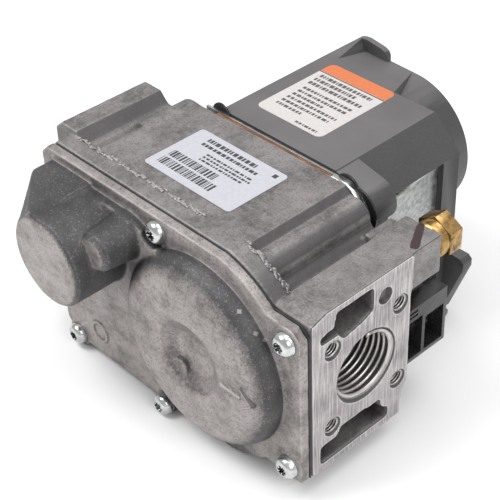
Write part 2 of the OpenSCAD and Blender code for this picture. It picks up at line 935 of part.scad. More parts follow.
module solenoid_bobbin() {
    color(BLACK) {
        tube_y(SOLENOID, 9.7, 3.3, coil_y0 + 0.1, coil_y0 + 1.6);
        tube_y(SOLENOID, 4.4, 3.3, coil_y0 + 1.6 - EPS, coil_y1 - 1.6 + EPS);
        tube_y(SOLENOID, 9.7, 3.3, coil_y1 - 1.6, coil_y1 - 0.1);
    }
}

module solenoid_coil() {
    color(COPPER)
        tube_y(SOLENOID, 9.2, 4.42, coil_y0 + 1.65, coil_y1 - 1.65);
}

module solenoid_plunger() {
    color(STEEL) {
        rod_y(SOLENOID, 3.22, 33.4, plunger_y1);
        rod_y(SOLENOID, 1.1, back_y + 1.2, 33.5);
    }
}

module plunger_spring() {
    color(STEEL)
        spring_y(SOLENOID, 2.2, 0.5, plunger_y1 + 0.1, coil_y1 - 0.1, 5);
}

module servo_seat() {
    color(BRASS)
        tube_y(SOLENOID, 1.18, 0.6, back_y - 4, back_y + 0.9);
}

// ---------------------------------------------------------------- servo regulator and pilot adjuster

module regulator_sleeve() {
    color(CAST)
        difference() {
            union() {
                rod_y(REGULATOR, 8, seal_y + 0.5, 32);
                rod_y(REGULATOR, 7.2, 32 - EPS, cover_end + 0.4);
            }
            rod_y(REGULATOR, 5.6, 32, cover_end + 2);
            rod_y(REGULATOR, 6.6, 27.5, 32 + EPS);
            rod_y(REGULATOR, 1.2, 20, 30);
        }
}

module regulator_diaphragm() {
    color(RUBBER)
        rod_y(REGULATOR, 6.5, 28, 28.7);
}

module regulator_spring() {
    color(STEEL)
        spring_y(REGULATOR, 3.8, 0.8, 28.8, 58.8, 9);
}

module regulator_spring_seat() {
    color(STEEL)
        rod_y(REGULATOR, 5.2, 59, 60.2);
}

module regulator_adjusting_screw() {
    color("#e4e2dc")
        difference() {
            rod_y(REGULATOR, 5.5, 60.4, 67.4);
            box([REGULATOR[0] - 4.4, 66, REGULATOR[1] - 0.6], [REGULATOR[0] + 4.4, 70, REGULATOR[1] + 0.6]);
        }
}

module regulator_cap_screw() {
    color(ZINC)
        difference() {
            union() {
                rod_y(REGULATOR, 5.55, cover_end - 3.4, cover_end + 0.5);
                rod_y(REGULATOR, 7, cover_end + 0.4, cover_end + 2.2);
            }
            box([REGULATOR[0] - 8, cover_end + 1, REGULATOR[1] - 0.7],
                [REGULATOR[0] + 8, cover_end + 4, REGULATOR[1] + 0.7]);
        }
}

module pilot_adjusting_screw() {
    color(BRASS)
        difference() {
            union() {
                rod_y(PILOT, 1.5, 26, 40);
                rod_y(PILOT, 3, 40 - EPS, 46);
            }
            box([PILOT[0] - 3, 44.8, PILOT[1] - 0.4], [PILOT[0] + 3, 48, PILOT[1] + 0.4]);
        }
}

module pilot_sleeve() {
    color(CAST)
        tube_y(PILOT, 4.2, 3.2, base_y + 0.02, cover_end);
}

module pilot_cap_screw() {
    color(ZINC)
        difference() {
            union() {
                rod_y(PILOT, 3.15, cover_end - 5, cover_end + 0.1);
                rod_y(PILOT, 4.8, cover_end + 0.02, cover_end + 1.6);
            }
            box([PILOT[0] - 5, cover_end + 0.6, PILOT[1] - 0.5],
                [PILOT[0] + 5, cover_end + 3, PILOT[1] + 0.5]);
        }
}

// ---------------------------------------------------------------- pilot outlet and terminals

module pilot_fitting() {
    color(BRASS)
        difference() {
            union() {
                rod_y(FITTING, 3.58, port_back_d + 4, 28.5);
                rod_y(FITTING, 4.2, 28.45, 30.8);
            }
            rod_y(FITTING, 1.4, 10, 40);
        }
}

module pilot_compression_nut() {
    color(BRASS)
        difference() {
            union() {
                rod_y(FITTING, 4.9, 29.2, 29.9, 5.4);
                rod_y(FITTING, 5.4, 29.9 - EPS, 33);
                hex_y(FITTING, 11.1, 32.6, 37.4, 30);
            }
            rod_y(FITTING, 4.25, 20, 33);
            rod_y(FITTING, 3.25, 20, 50);
        }
}

module pilot_ferrule() {
    color(BRASS)
        tube_y(FITTING, 4.1, 3.5, 30.9, 32.9);
}

TB_LOW = [-14.8, port_back_d + 0.02, -15];
TB_HIGH = [-3, 35.6, 4];
TB_SCREW = [-11.6, 8];

module terminal_block() {
    color(BLACK)
        difference() {
            union() {
                box(TB_LOW, TB_HIGH);
                box([TB_LOW[0], TB_LOW[1], 0], [-8, 31, 11.8]);
                // Lug on the block's outer edge
                rod_x(35.6, -6.4, 1.5, -6, -3.4);
            }
            // Two wire compartments, open to the outlet side
            box([-10, 18.4, -13.6], [0, 25.6, -0.4]);
            box([-10, 26.8, -13.6], [0, 34.4, -1.6]);
            for (z = [0.8, 2.2])
                box([-3.6, 18.4, z], [0, 23.6, z + 0.7]);
            for (y = [22, 30.6])
                rod_x(y, -8.5, 1.22, -14, -9);
            rod_y(TB_SCREW, 1.6, 10, 40);
        }
}

module terminal_tabs() {
    color(BRASS)
        for (y = [22, 30.6])
            difference() {
                box([-10, y - 3, -12.6], [-9.2, y + 3, -4]);
                rod_x(y, -8.5, 1.25, -12, -8);
            }
}

module terminal_screws() {
    color(ZINC)
        for (y = [22, 30.6])
            difference() {
                union() {
                    rod_x(y, -8.5, 2.7, -9.2, -7.2);
                    rod_x(y, -8.5, 1.2, -13.6, -9.1);
                }
                box([-7.8, y - 3, -8.8], [-7, y + 3, -8.2]);
            }
}

module terminal_block_screw() {
    color(ZINC)
        difference() {
            union() {
                rod_y(TB_SCREW, 1.4, 9, 31.05);
                rod_y(TB_SCREW, 2.8, 31.02, 33);
            }
            box([TB_SCREW[0] - 3, 32.2, TB_SCREW[1] - 0.4], [TB_SCREW[0] + 3, 34, TB_SCREW[1] + 0.4]);
        }
}

module pressure_tap_plugs() {
    color(STEEL)
        for (tap = [[-96, -top_z], [-14, -port_h]])
            difference() {
                translate([tap[0], 0, tap[1] + 0.4])
                    cylinder(h = 5.4, r = 4.05);
                translate([tap[0], 0, tap[1] - 1])
                    cylinder(h = 4.4, r = 4.8 / sqrt(3), $fn = 6);
            }
}

// ---------------------------------------------------------------- labels

module rating_label() {
    color(PAPER)
        box([-74.6, -9.6, top_z], [-40.2, 12.4, top_z + 0.25]);
}

module warning_label() {
    color("#dcd7d2")
        box([-73.2, 31.4, cover_top], [-47.6, 63.6, cover_top + 0.25]);
}

// ---------------------------------------------------------------- parts

valve_body();
bottom_plate();
main_diaphragm();
bottom_plate_screws();
main_valve_seat();
main_valve_disc();
diaphragm_plate();
main_valve_spring();
safety_valve_seat();
safety_valve_disc();
safety_valve_stem();
safety_valve_armature();
safety_valve_spring();
power_unit_magnet();
power_unit_coil();
thermocouple_socket();
inlet_screen();
head_gasket();
sealing_plate();
control_base();
control_cover();
cover_screws();
gas_control_knob();
knob_shaft();
knob_spring();
knob_retaining_clip();
reset_yoke();
stem_seal();
solenoid_bracket();
solenoid_bobbin();
solenoid_coil();
solenoid_plunger();
plunger_spring();
servo_seat();
regulator_sleeve();
regulator_diaphragm();
regulator_spring();
regulator_spring_seat();
regulator_adjusting_screw();
regulator_cap_screw();
pilot_adjusting_screw();
pilot_sleeve();
pilot_cap_screw();
pilot_fitting();
pilot_compression_nut();
pilot_ferrule();
terminal_block();
terminal_tabs();
terminal_screws();
terminal_block_screw();
pressure_tap_plugs();
rating_label();
warning_label();
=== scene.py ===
"""Looks for the combination gas valve: cast aluminium body, plastic control head, printed labels.

Everything is in metres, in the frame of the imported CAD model: origin at the centre of the outlet
port, +X along the gas flow, +Y towards the control head, +Z towards the label face.
"""

import json
import math
import random

import bmesh
import bpy
from mathutils import Matrix, Vector


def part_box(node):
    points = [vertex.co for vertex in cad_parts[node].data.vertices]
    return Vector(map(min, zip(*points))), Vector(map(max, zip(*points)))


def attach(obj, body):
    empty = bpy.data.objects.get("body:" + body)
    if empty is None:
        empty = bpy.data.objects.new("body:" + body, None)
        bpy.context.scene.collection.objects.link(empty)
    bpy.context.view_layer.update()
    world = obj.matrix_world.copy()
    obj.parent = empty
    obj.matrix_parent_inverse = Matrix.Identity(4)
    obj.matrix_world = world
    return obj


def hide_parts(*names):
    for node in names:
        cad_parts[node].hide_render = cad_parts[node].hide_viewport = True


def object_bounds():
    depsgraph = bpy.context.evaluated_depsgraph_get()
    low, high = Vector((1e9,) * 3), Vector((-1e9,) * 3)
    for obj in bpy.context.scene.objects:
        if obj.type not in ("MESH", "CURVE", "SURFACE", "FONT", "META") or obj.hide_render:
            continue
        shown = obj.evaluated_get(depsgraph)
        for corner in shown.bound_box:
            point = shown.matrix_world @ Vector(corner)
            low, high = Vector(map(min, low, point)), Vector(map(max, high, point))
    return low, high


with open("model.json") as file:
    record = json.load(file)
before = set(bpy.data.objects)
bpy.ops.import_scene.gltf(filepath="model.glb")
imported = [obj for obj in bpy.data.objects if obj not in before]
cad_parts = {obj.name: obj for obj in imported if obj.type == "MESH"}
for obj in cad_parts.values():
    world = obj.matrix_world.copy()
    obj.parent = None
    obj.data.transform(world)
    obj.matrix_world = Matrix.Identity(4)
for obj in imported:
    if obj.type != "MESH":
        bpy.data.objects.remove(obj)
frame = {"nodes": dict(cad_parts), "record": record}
cad_low, cad_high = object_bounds()

MM = 0.001
NODES = frame["nodes"]
ROOT = "valve"
# The flat rim of the bottom plate, which the dome and the tower rise from
RIM_Y = cad_low.y + 20.1 * MM
# The top of the outlet block
OUTLET_TOP = 27 * MM


# ---------------------------------------------------------------- materials

class Shader:
    """A material's node tree, with short calls that add a node and link its inputs."""

    def __init__(self, name):
        self.material = bpy.data.materials.new(name)
        self.material.use_nodes = True
        self.tree = self.material.node_tree
        self.bsdf = self.tree.nodes["Principled BSDF"]
        self.coords = self.add("ShaderNodeTexCoord").outputs["Object"]

    def add(self, kind, **values):
        node = self.tree.nodes.new(kind)
        for key, value in values.items():
            setattr(node, key, value)
        return node

    def link(self, value, socket):
        if isinstance(value, bpy.types.NodeSocket):
            self.tree.links.new(value, socket)
        else:
            socket.default_value = value

    def noise(self, feature_mm, detail=3.0, roughness=0.5, stretch=(1, 1, 1)):
        """Smooth noise from 0 to 1 whose blobs are about feature_mm across."""
        mapping = self.add("ShaderNodeMapping")
        mapping.inputs["Scale"].default_value = stretch
        self.link(self.coords, mapping.inputs["Vector"])
        node = self.add("ShaderNodeTexNoise")
        self.link(mapping.outputs["Vector"], node.inputs["Vector"])
        node.inputs["Scale"].default_value = 1 / (feature_mm * MM)
        node.inputs["Detail"].default_value = detail
        node.inputs["Roughness"].default_value = roughness
        return node.outputs["Fac"]

    def cells(self, feature_mm):
        """Crystals about feature_mm across, each with its own random grey."""
        node = self.add("ShaderNodeTexVoronoi")
        self.link(self.coords, node.inputs["Vector"])
        node.inputs["Scale"].default_value = 1 / (feature_mm * MM)
        grey = self.add("ShaderNodeRGBToBW")
        self.link(node.outputs["Color"], grey.inputs[0])
        return grey.outputs[0]

    def ramp(self, fac, *stops):
        """A colour ramp through (position, grey or colour) stops."""
        node = self.add("ShaderNodeValToRGB")
        self.link(fac, node.inputs["Fac"])
        ramp = node.color_ramp
        while len(ramp.elements) < len(stops):
            ramp.elements.new(0.5)
        for element, (position, colour) in zip(ramp.elements, stops):
            element.position = position
            element.color = as_colour(colour)
        return node.outputs["Color"]

    def mix(self, fac, a, b, blend="MIX"):
        node = self.add("ShaderNodeMix", data_type="RGBA", blend_type=blend)
        self.link(fac, node.inputs[0])
        self.link(a if isinstance(a, bpy.types.NodeSocket) else as_colour(a), node.inputs[6])
        self.link(b if isinstance(b, bpy.types.NodeSocket) else as_colour(b), node.inputs[7])
        return node.outputs[2]

    def math(self, operation, a, b=0.0):
        node = self.add("ShaderNodeMath", operation=operation)
        self.link(a, node.inputs[0])
        self.link(b, node.inputs[1])
        return node.outputs[0]

    def axis(self, name):
        node = self.add("ShaderNodeSeparateXYZ")
        self.link(self.coords, node.inputs[0])
        return node.outputs[name]

    def facing(self, axis_name):
        """How far the surface's normal points along a world axis, from -1 to 1."""
        geometry = self.add("ShaderNodeNewGeometry")
        node = self.add("ShaderNodeSeparateXYZ")
        self.link(geometry.outputs["Normal"], node.inputs[0])
        return node.outputs[axis_name]

    def multiply_add(self, a, b, c):
        node = self.add("ShaderNodeMath", operation="MULTIPLY_ADD")
        for value, socket in zip((a, b, c), node.inputs):
            self.link(value, socket)
        return node.outputs[0]

    def crevice(self, reach_mm):
        """From 0 deep in a corner to 1 on open surface."""
        node = self.add("ShaderNodeAmbientOcclusion", samples=6)
        node.inputs["Distance"].default_value = reach_mm * MM
        return node.outputs["AO"]

    def edges(self):
        """Above 0.5 on an outer edge, below it in an inner corner."""
        geometry = self.add("ShaderNodeNewGeometry")
        return geometry.outputs["Pointiness"]

    def bump(self, height, depth_mm, strength=1.0, under=None):
        node = self.add("ShaderNodeBump")
        node.inputs["Distance"].default_value = depth_mm * MM
        node.inputs["Strength"].default_value = strength
        self.link(height, node.inputs["Height"])
        if under is not None:
            self.link(under, node.inputs["Normal"])
        return node.outputs["Normal"]

    def finish(self, colour, roughness, metallic=0.0, normal=None):
        value = colour if isinstance(colour, bpy.types.NodeSocket) else as_colour(colour)
        self.link(value, self.bsdf.inputs["Base Color"])
        self.link(roughness, self.bsdf.inputs["Roughness"])
        self.bsdf.inputs["Metallic"].default_value = metallic
        if normal is not None:
            self.link(normal, self.bsdf.inputs["Normal"])
        return self.material


def as_colour(value):
    if isinstance(value, (int, float)):
        return (value, value, value, 1)
    return tuple(value)[:3] + (1,)


def cast_aluminium(name, light, dark, painted_side_shade=False, milled=False):
    """Die-cast skin: flow marks, mottling, rubbed edges and a fine grain, with painted shade in inner
    corners and crevices.

    When side shade is asked for, the faces below the rim that don't look along -Y get painted shade, a
    darker colour standing in for the light they miss.
    With milled the outlet face is cut metal with bright cutter lines, and the faces slanted towards +X
    get painted shade.
    """
    s = Shader(name)
    flow = s.noise(11, detail=7, roughness=0.62, stretch=(1, 0.8, 1.3))
    mottle = s.noise(2.4, detail=7, roughness=0.72)
    grain = s.noise(0.55, detail=4, roughness=0.7)
    scaled = [tuple(k * c for c in light) for k in (0.55, 0.92, 1.22)]
    base = s.ramp(flow, (0.36, scaled[0]), (0.50, scaled[1]), (0.64, scaled[2]))
    base = s.mix(s.ramp(mottle, (0.46, 0.0), (0.64, 0.50)), base, tuple(1.45 * c for c in light))
    base = s.mix(s.ramp(mottle, (0.31, 0.50), (0.45, 0.0)), base, dark)
    if painted_side_shade:
        # Painted shade: faces below the rim that turn away from -Y are darkened towards the colour
        # below, standing in for shade.
        front = s.multiply_add(s.facing("Y"), -1.0, s.multiply_add(grain, 0.30, -0.15))
        skin = s.ramp(flow, (0.34, tuple(0.75 * c for c in dark)),
                      (0.68, tuple(1.55 * c for c in dark)))
        shaded = s.math("MULTIPLY", s.ramp(front, (0.68, 1.0), (0.96, 0.0)),
                        s.math("LESS_THAN", s.axis("Y"), RIM_Y - 0.5 * MM))
        base = s.mix(shaded, base, skin)
    base = s.mix(s.ramp(grain, (0.36, 0.65), (0.46, 0.0)), base, (0.075, 0.072, 0.073))
    base = s.mix(s.ramp(grain, (0.56, 0.0), (0.68, 0.35)), base, (0.46, 0.43, 0.42))
    base = s.mix(s.ramp(s.edges(), (0.520, 0.0), (0.565, 0.55)), base, (0.50, 0.475, 0.465))
    # Painted shade: inner corners and crevices are darkened, standing in for the shade that falls in
    # them.
    base = s.mix(s.ramp(s.edges(), (0.440, 0.6), (0.485, 0.0)), base, (0.045, 0.043, 0.044))
    base = s.mix(s.ramp(s.crevice(7), (0.35, 0.75), (0.86, 0.0)), base, (0.030, 0.028, 0.029))
    roughness = s.ramp(mottle, (0.3, 0.42), (0.7, 0.60))
    normal = s.bump(flow, 0.35, 0.35)
    normal = s.bump(mottle, 0.22, 0.5, normal)
    normal = s.bump(grain, 0.11, 0.8, normal)
    if milled:
        # Painted shade: faces slanted partly towards +X are darkened, standing in for the shade they
        # lie in.
        painted_slant_shade = s.math("MULTIPLY", s.ramp(s.facing("X"), (0.26, 0.0), (0.56, 0.85)),
                         s.ramp(s.facing("X"), (0.88, 1.0), (0.95, 0.0)))
        base = s.mix(painted_slant_shade, base, (0.066, 0.063, 0.066))
        lines = s.noise(0.45, detail=4, roughness=0.6, stretch=(0.05, 1.0, 0.04))
        cut = s.ramp(flow, (0.38, (0.20, 0.185, 0.19)), (0.62, (0.36, 0.34, 0.345)))
        cut = s.mix(s.ramp(lines, (0.44, 0.0), (0.66, 0.75)), cut, (0.66, 0.63, 0.63))
        cut = s.mix(s.ramp(s.edges(), (0.508, 0.0), (0.535, 0.8)), cut, (0.70, 0.67, 0.67))
        on_face = s.math("MULTIPLY", s.ramp(s.facing("X"), (0.90, 0.0), (0.96, 1.0)),
                         s.math("GREATER_THAN", s.axis("X"), -0.24 * MM))
        base = s.mix(on_face, base, cut)
        roughness = s.mix(on_face, roughness, 0.34)
        normal = s.bump(s.math("MULTIPLY", lines, on_face), 0.05, 0.5, normal)
    return s.finish(base, roughness, 0.45, normal)


def machined_aluminium():
    """Milled port face: light metal with parallel cutter lines."""
    s = Shader("machined_aluminium")
    lines = s.noise(0.5, detail=4, roughness=0.6, stretch=(0.05, 1.0, 0.03))
    stains = s.noise(6, detail=5, roughness=0.6)
    base = s.ramp(stains, (0.3, (0.36, 0.34, 0.335)), (0.7, (0.58, 0.56, 0.55)))
    base = s.mix(s.ramp(lines, (0.40, 0.0), (0.62, 0.35)), base, (0.80, 0.78, 0.77))
    normal = s.bump(lines, 0.04, 0.5)
    return s.finish(base, s.ramp(lines, (0.3, 0.30), (0.7, 0.46)), 0.9, normal)


def zinc_plate():
    s = Shader("zinc_plate")
    cloud = s.noise(2.5, detail=4)
    base = s.ramp(cloud, (0.3, (0.42, 0.43, 0.43)), (0.7, (0.66, 0.68, 0.67)))
    return s.finish(base, s.ramp(cloud, (0.3, 0.16), (0.7, 0.30)), 0.95,
                    s.bump(s.noise(0.4), 0.03, 0.4))


def galvanised_steel():
    """Sheet with crystal spangles."""
    s = Shader("galvanised_steel")
    spangle = s.cells(0.9)
    base = s.ramp(spangle, (0.1, (0.26, 0.27, 0.265)), (0.9, (0.46, 0.47, 0.46)))
    return s.finish(base, s.ramp(spangle, (0.1, 0.30), (0.9, 0.48)), 0.85,
                    s.bump(spangle, 0.02, 0.4))


def machined_steel():
    s = Shader("machined_steel")
    lines = s.noise(0.4, detail=3, stretch=(1, 0.1, 1))
    return s.finish(s.ramp(lines, (0.3, (0.42, 0.43, 0.44)), (0.7, (0.60, 0.61, 0.62))),
                    s.ramp(lines, (0.3, 0.22), (0.7, 0.38)), 0.95, s.bump(lines, 0.02, 0.3))


def brass():
    s = Shader("brass")
    tarnish = s.noise(2.6, detail=5, roughness=0.65)
    base = s.ramp(tarnish, (0.34, (0.10, 0.055, 0.025)), (0.48, (0.34, 0.21, 0.075)),
                  (0.70, (0.55, 0.38, 0.17)))
    return s.finish(base, s.ramp(tarnish, (0.3, 0.40), (0.7, 0.22)), 0.95,
                    s.bump(s.noise(0.5), 0.03, 0.4))


def enamelled_copper():
    """Round wire wound in layers along Y."""
    s = Shader("enamelled_copper")
    wave = s.add("ShaderNodeTexWave", bands_direction="Y")
    s.link(s.coords, wave.inputs["Vector"])
    wave.inputs["Scale"].default_value = 1 / (0.35 * MM) / math.tau * 2
    return s.finish(s.ramp(wave.outputs["Fac"], (0.2, (0.22, 0.07, 0.03)), (0.9, (0.62, 0.25, 0.10))),
                    0.30, 0.8, s.bump(wave.outputs["Fac"], 0.1, 0.6))


def black_rubber():
    s = Shader("black_rubber")
    return s.finish(s.ramp(s.noise(1.5, detail=4), (0.3, 0.012), (0.7, 0.035)), 0.62, 0.0,
                    s.bump(s.noise(0.3), 0.03, 0.5))


def brown_gasket():
    """Fibre gasket whose cut edge is streaked along the joint."""
    s = Shader("brown_gasket")
    streak = s.noise(1.6, detail=6, roughness=0.7, stretch=(0.35, 2.2, 1))
    base = s.ramp(streak, (0.30, (0.030, 0.016, 0.010)), (0.50, (0.14, 0.055, 0.022)),
                  (0.70, (0.33, 0.15, 0.06)))
    return s.finish(base, 0.55, 0.0, s.bump(streak, 0.15, 0.6))


def grey_plastic():
    """Moulded cover with a fine spark-eroded grain, and painted shade on the faces that don't look
    along +Z.
    """
    s = Shader("grey_plastic")
    grain = s.noise(0.30, detail=2)
    cloud = s.noise(14, detail=3)
    base = s.ramp(cloud, (0.3, (0.100, 0.095, 0.096)), (0.7, (0.125, 0.118, 0.120)))
    # Painted shade: faces of the cover turned away from +Z are darkened, standing in for shade.
    side = s.ramp(s.facing("Z"), (0.80, 1.0), (0.96, 0.0))
    base = s.mix(s.math("MULTIPLY", side, 0.88), base, (0.034, 0.033, 0.035))
    base = s.mix(s.ramp(grain, (0.45, 0.0), (0.75, 0.22)), base, 0.16)
    return s.finish(base, s.ramp(grain, (0.3, 0.42), (0.7, 0.56)), 0.0, s.bump(grain, 0.035, 0.5))


def black_plastic():
    s = Shader("black_plastic")
    grain = s.noise(0.5, detail=3)
    return s.finish(s.ramp(grain, (0.3, 0.010), (0.7, 0.020)), s.ramp(grain, (0.3, 0.20), (0.7, 0.32)),
                    0.0, s.bump(grain, 0.02, 0.4))


def plain_plastic(name, colour):
    s = Shader(name)
    grain = s.noise(0.6, detail=3)
    darker = tuple(0.85 * c for c in colour)
    return s.finish(s.ramp(grain, (0.3, darker), (0.7, colour)), 0.42, 0.0, s.bump(grain, 0.02, 0.4))


def label_film(name, colour, gloss=0.34):
    """Printed film with a faint orange-peel."""
    s = Shader(name)
    peel = s.noise(1.2, detail=2)
    darker = tuple(0.93 * c for c in colour)
    return s.finish(s.ramp(peel, (0.35, darker), (0.65, colour)), gloss, 0.0, s.bump(peel, 0.012, 0.35))


def marker_ink():
    """Felt-pen line that lets the casting show through in streaks."""
    s = Shader("marker_ink")
    streak = s.noise(1.0, detail=5, roughness=0.7)
    return s.finish(s.ramp(streak, (0.30, (0.028, 0.016, 0.018)), (0.66, (0.055, 0.030, 0.032)),
                           (0.85, (0.13, 0.105, 0.105))),
                    0.5, 0.2, s.bump(streak, 0.05, 0.5))


MATERIALS = {
    "cast": cast_aluminium("cast_aluminium", (0.208, 0.197, 0.194), (0.075, 0.072, 0.073), milled=True),
    "cast_cover": cast_aluminium("cast_cover", (0.305, 0.280, 0.270), (0.060, 0.058, 0.061),
                                 painted_side_shade=True),
    "zinc": zinc_plate(),
    "galvanised": galvanised_steel(),
    "steel": machined_steel(),
    "brass": brass(),
    "copper": enamelled_copper(),
    "rubber": black_rubber(),
    "gasket": brown_gasket(),
    "black_plastic": black_plastic(),
    "grey_plastic": grey_plastic(),
    "white_plastic": plain_plastic("white_plastic", (0.70, 0.68, 0.63)),
    "label_grey": label_film("label_grey", (0.47, 0.47, 0.51)),
    "label_white": label_film("label_white", (0.55, 0.525, 0.515)),
    "machined": machined_aluminium(),
    "ink_dark": label_film("ink_dark", (0.045, 0.045, 0.055), 0.5),
    "ink_grey": label_film("ink_grey", (0.085, 0.080, 0.085), 0.5),
    "ink_orange": label_film("ink_orange", (0.60, 0.165, 0.058), 0.4),
    "ink_white": label_film("ink_white", (0.66, 0.66, 0.64), 0.5),
    "marker": marker_ink(),
}
SPECIAL = {"solenoid_bracket": "galvanised", "bottom_plate": "cast_cover"}


# ---------------------------------------------------------------- CAD nodes

def set_material(obj, name):
    obj.data.materials.clear()
    obj.data.materials.append(MATERIALS[name])


def shade_smooth(obj):
    obj.data.polygons.foreach_set("use_smooth", [True] * len(obj.data.polygons))


def cast_finish(obj, voxel_mm):
    """Rounds a casting's edges the way a worn die does: remesh, relax, then a slight unevenness."""
    remesh = obj.modifiers.new("remesh", "REMESH")
    remesh.mode = "VOXEL"
    remesh.voxel_size = voxel_mm * MM
    remesh.use_smooth_shade = True
    relax = obj.modifiers.new("relax", "SMOOTH")
    relax.factor = 0.5
    relax.iterations = 4
    texture = bpy.data.textures.new(obj.name + "_skin", "CLOUDS")
    texture.noise_scale = 5 * MM
    texture.noise_depth = 3
    skin = obj.modifiers.new("skin", "DISPLACE")
    skin.texture = texture
    skin.texture_coords = "LOCAL"
    skin.strength = 0.22 * MM
    skin.mid_level = 0.5


def soft_edges(obj, width_mm):
    """Small rounds on every sharp edge of a CAD node, with its loose facets joined first."""
    weld = obj.modifiers.new("weld", "WELD")
    weld.merge_threshold = 0.002 * MM
    bevel = obj.modifiers.new("bevel", "BEVEL")
    bevel.width = width_mm * MM
    bevel.segments = 2
    bevel.limit_method = "ANGLE"
    bevel.angle_limit = math.radians(32)
    bevel.harden_normals = True
    shade_smooth(obj)


# Voxel size of each casting's remesh, in mm like all widths up to the new pieces
CAST_VOXELS = {"valve_body": 0.5, "bottom_plate": 0.45}
# Width of the rounds on a node's edges, and the nodes whose rounds have another width
EDGE_WIDTH = 0.12
EDGE_WIDTHS = {
    "control_cover": 0.55, "gas_control_knob": 0.4, "terminal_block": 0.25, "sealing_plate": 0.2,
    "solenoid_bracket": 0.2, "pilot_compression_nut": 0.3, "control_base": 0.3,
    "head_gasket": 0.15, "regulator_cap_screw": 0.25, "thermocouple_socket": 0.2,
}
COILS = ("main_valve_spring", "safety_valve_spring", "knob_spring", "plunger_spring",
         "regulator_spring")


def dress_cad_nodes():
    slots = {part["node"]: part["material_slot"] for part in frame["record"]["subparts"]}
    for name, obj in NODES.items():
        set_material(obj, SPECIAL.get(name, slots[name]))
        if name in CAST_VOXELS:
            cast_finish(obj, CAST_VOXELS[name])
        elif name in COILS:
            shade_smooth(obj)
        else:
            soft_edges(obj, EDGE_WIDTHS.get(name, EDGE_WIDTH))


# ---------------------------------------------------------------- new pieces

def new_piece(name, bm, material, body=ROOT, smooth=True):
    """Turns a bmesh into a piece that rides on a CAD body."""
    mesh = bpy.data.meshes.new(name)
    bmesh.ops.recalc_face_normals(bm, faces=bm.faces)
    for face in bm.faces:
        face.smooth = smooth
    bm.to_mesh(mesh)
    bm.free()
    obj = bpy.data.objects.new(name, mesh)
    bpy.context.scene.collection.objects.link(obj)
    mesh.materials.append(MATERIALS[material])
    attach(obj, body)
    return obj


# How far inside its mouth a thread starts, and the steps in one of its turns
THREAD_START = 0.6 * MM
THREAD_STEPS = 64


def add_thread(bm, start, direction, root_r, crest_r, pitch, turns):
    """An internal thread's ridge: a triangular section swept along a helix, sunk into the wall."""
    up = Vector((0, 0, 1))
    side = direction.cross(up)
    foot_r = root_r + 0.12 * MM
    section = [(foot_r, -0.46), (crest_r, -0.07), (crest_r, 0.07), (foot_r, 0.46)]
    rings = []
    for i in range(int(turns * THREAD_STEPS) + 1):
        angle = math.tau * i / THREAD_STEPS
        radial = up * math.cos(angle) + side * math.sin(angle)
        middle = start + direction * (pitch * (i / THREAD_STEPS))
        rings.append([bm.verts.new(middle + radial * r + direction * (pitch * offset))
                      for r, offset in section])
    for a, b in zip(rings, rings[1:]):
        for j in range(len(section)):
            k = (j + 1) % len(section)
            bm.faces.new((a[j], a[k], b[k], b[j]))
    bm.faces.new(rings[0])
    bm.faces.new(list(reversed(rings[-1])))


def thread_piece(name, holes, root_r, crest_r, pitch, depth):
    """One piece with a thread in each of holes, which are pairs of a mouth and a direction inwards."""
    bm = bmesh.new()
    for mouth, inward in holes:
        add_thread(bm, mouth + inward * THREAD_START, inward, root_r, crest_r, pitch, depth / pitch)
    new_piece(name, bm, "machined")


# Half-inch pipe thread in the ports, and the metric thread in the flange bolt holes
PIPE_PITCH = 25.4 / 14 * MM
PIPE_ROOT_R = 10.4 * MM
PIPE_CREST_R = 9.35 * MM
PIPE_DEPTH = 15.2 * MM
BOLT_PITCH = 0.8 * MM
BOLT_THREAD_HEIGHT = 0.35 * MM
BOLT_DEPTH = 8 * MM


def build_threads():
    """Threads in both ports and in the bolt holes round them, where the record's mounts say."""
    outlet = (Vector((0, 0, 0)), Vector((-1, 0, 0)))
    inlet = (Vector((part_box("valve_body")[0].x, 0, 0)), Vector((1, 0, 0)))
    thread_piece("port_threads", [outlet, inlet], PIPE_ROOT_R, PIPE_CREST_R, PIPE_PITCH, PIPE_DEPTH)
    mounts = {mount["name"]: mount for mount in frame["record"]["mounts"]}
    for end, (mouth, inward) in (("outlet", outlet), ("inlet", inlet)):
        pattern = mounts[end + "_flange"]["dims"]
        half_y, half_z = pattern["spacing_x_mm"] / 2 * MM, pattern["spacing_y_mm"] / 2 * MM
        root = pattern["hole_r_mm"] * MM
        holes = [(mouth + Vector((0, half_y * sy, half_z * sz)), inward)
                 for sy in (-1, 1) for sz in (-1, 1)]
        crest = root - BOLT_THREAD_HEIGHT
        thread_piece(end + "_bolt_threads", holes, root, crest, BOLT_PITCH, BOLT_DEPTH)


def add_slab(bm, outline, z0, z1):
    """A flat plate between two heights from an [x, y] outline."""
    low = [bm.verts.new((x, y, z0)) for x, y in outline]
    high = [bm.verts.new((x, y, z1)) for x, y in outline]
    bm.faces.new(list(reversed(low)))
    bm.faces.new(high)
    for i in range(len(outline)):
        j = (i + 1) % len(outline)
        bm.faces.new((low[i], low[j], high[j], high[i]))


def add_block(bm, low, high):
    """A box between two corners."""
    add_slab(bm, [(low[0], low[1]), (high[0], low[1]), (high[0], high[1]), (low[0], high[1])],
             low[2], high[2])


def rounded_rectangle(x0, y0, x1, y1, radius, steps=6):
    points = []
    corners = ((x1 - radius, y1 - radius, 0), (x0 + radius, y1 - radius, 90),
               (x0 + radius, y0 + radius, 180), (x1 - radius, y0 + radius, 270))
    for cx, cy, first in corners:
        for i in range(steps + 1):
            angle = math.radians(first + 90 * i / steps)
            points.append((cx + radius * math.cos(angle), cy + radius * math.sin(angle)))
    return points


# Thickness of the printing, and how far below the CAD label's face the film ends to leave room for it
PRINT_T = 0.012 * MM
PRINT_ROOM = 0.05 * MM


